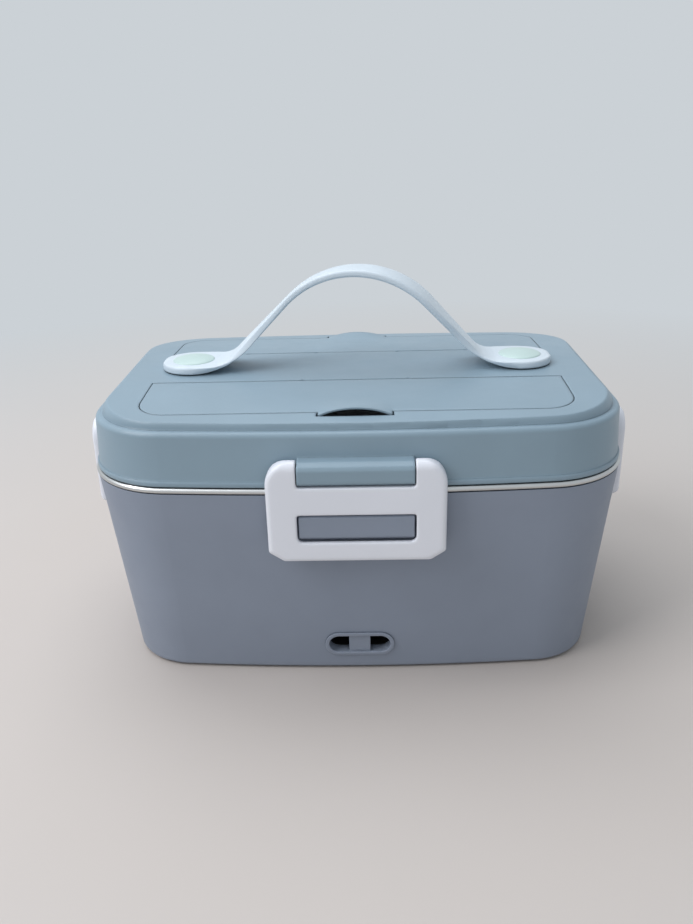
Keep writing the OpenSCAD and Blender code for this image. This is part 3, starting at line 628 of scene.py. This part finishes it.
def make_strap():
    """The strap, pulled up by hand: its arch leans to one side and is turned a little."""
    half = [strap_ring(*station) for station in strap_stations()]
    mirrored = [[Vector((-p.x, p.y, p.z)) for p in ring] for ring in half[:0:-1]]
    rings = mirrored + half
    count = len(rings[0])
    points = [lean(point) for ring in rings for point in ring]
    faces = []
    for i in range(len(rings) - 1):
        for j in range(count):
            k = (j + 1) % count
            faces.append((i * count + j, i * count + k, (i + 1) * count + k, (i + 1) * count + j))
    faces.append(tuple(range(count)))
    faces.append(tuple(range(len(points) - 1, len(points) - count - 1, -1)))
    mesh = bpy.data.meshes.new("strap")
    mesh.from_pydata(points, [], faces)
    face_outwards(mesh)
    for face in mesh.polygons:
        face.use_smooth = True
    mesh.materials.append(MATERIALS["strap_rubber"])
    strap = add_object("strap", mesh)
    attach(strap, "lid")
    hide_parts("carry_strap")


make_strap()
for latch, pin_at, along, half_width in LATCHES:
    close_bore(latch, latch + "_arm", pin_at, along, half_width)
    soften(nodes[latch], LATCH_VOXEL, LATCH_PASSES)
soften(nodes["strap_caps"], CAP_VOXEL, CAP_PASSES)
door_shading = angle_shading()
shape_lip("front_flap", "front_door", door_shading, turned=False)
shape_lip("rear_flap", "rear_door", door_shading, turned=True)


# -------------------------------------------------------------------- stage


def make_floor():
    """A wide plain floor that takes the box's shadow and fades into the wall further out."""
    half = FLOOR_HALF
    mesh = bpy.data.meshes.new("floor")
    corners = [(-half, -half, 0), (half, -half, 0), (half, half, 0), (-half, half, 0)]
    mesh.from_pydata(corners, [], [(0, 1, 2, 3)])
    floor = add_object("floor", mesh)
    finish = Finish("floor", FLOOR, roughness=0.6)
    finish.mottle(size=0.15, amount=0.01)
    far = finish.node("ShaderNodeVectorMath", operation="LENGTH")
    finish.link(finish.coordinates.outputs["Object"], far.inputs[0])
    wall = finish.node("ShaderNodeEmission")
    wall.inputs["Color"].default_value = linear(WALL)
    fade = finish.node("ShaderNodeMixShader")
    share = finish.ranged(far.outputs["Value"], 0, 1, FADE_FROM, FADE_TO)
    finish.link(share, fade.inputs["Fac"])
    finish.link(finish.shader.outputs["BSDF"], fade.inputs[1])
    finish.link(wall.outputs["Emission"], fade.inputs[2])
    output = finish.tree.nodes["Material Output"]
    finish.link(fade.outputs["Shader"], output.inputs["Surface"])
    mesh.materials.append(finish.material)


def make_world():
    """Soft even light, and the wall's colour where the camera, gloss or glass sees it."""
    world = bpy.data.worlds.new("studio")
    scene.world = world
    world.use_nodes = True
    tree = world.node_tree
    tree.nodes.clear()
    light = tree.nodes.new("ShaderNodeBackground")
    light.inputs["Color"].default_value = linear(SKY)
    light.inputs["Strength"].default_value = SKY_STRENGTH
    wall = tree.nodes.new("ShaderNodeBackground")
    wall.inputs["Color"].default_value = linear(WALL)
    wall.inputs["Strength"].default_value = 1.0
    path = tree.nodes.new("ShaderNodeLightPath")
    seen = tree.nodes.new("ShaderNodeMath")
    seen.operation = "MAXIMUM"
    either = tree.nodes.new("ShaderNodeMath")
    either.operation = "MAXIMUM"
    tree.links.new(path.outputs["Is Camera Ray"], either.inputs[0])
    tree.links.new(path.outputs["Is Glossy Ray"], either.inputs[1])
    tree.links.new(either.outputs[0], seen.inputs[0])
    tree.links.new(path.outputs["Is Transmission Ray"], seen.inputs[1])
    mix = tree.nodes.new("ShaderNodeMixShader")
    tree.links.new(seen.outputs[0], mix.inputs["Fac"])
    tree.links.new(light.outputs[0], mix.inputs[1])
    tree.links.new(wall.outputs[0], mix.inputs[2])
    output = tree.nodes.new("ShaderNodeOutputWorld")
    tree.links.new(mix.outputs[0], output.inputs["Surface"])


def add_lamp(name, at, size, watts, colour):
    """A square soft lamp aimed at the middle of the box."""
    lamp = bpy.data.lights.new(name, "AREA")
    lamp.size = size
    lamp.energy = watts
    lamp.color = linear(colour)[:3]
    holder = add_object(name, lamp)
    holder.location = at
    aim = LAMP_AIM - Vector(at)
    holder.rotation_euler = aim.to_track_quat("-Z", "Y").to_euler()


def make_camera():
    """The photograph's camera."""
    camera = add_object("camera", bpy.data.cameras.new("camera"))
    camera.location = CAMERA_AT
    turn = Euler((0, 0, CAMERA_YAW)).to_matrix()
    tilt = Euler((math.pi / 2 - CAMERA_PITCH, 0, 0)).to_matrix()
    roll = Euler((0, 0, CAMERA_ROLL)).to_matrix()
    camera.rotation_euler = (turn @ tilt @ roll).to_euler()
    camera.data.lens = CAMERA_LENS
    camera.data.clip_start = CAMERA_NEAR
    scene.camera = camera


scene.view_settings.view_transform = "Standard"
make_floor()
make_world()
make_camera()
for lamp in LAMPS:
    add_lamp(*lamp)
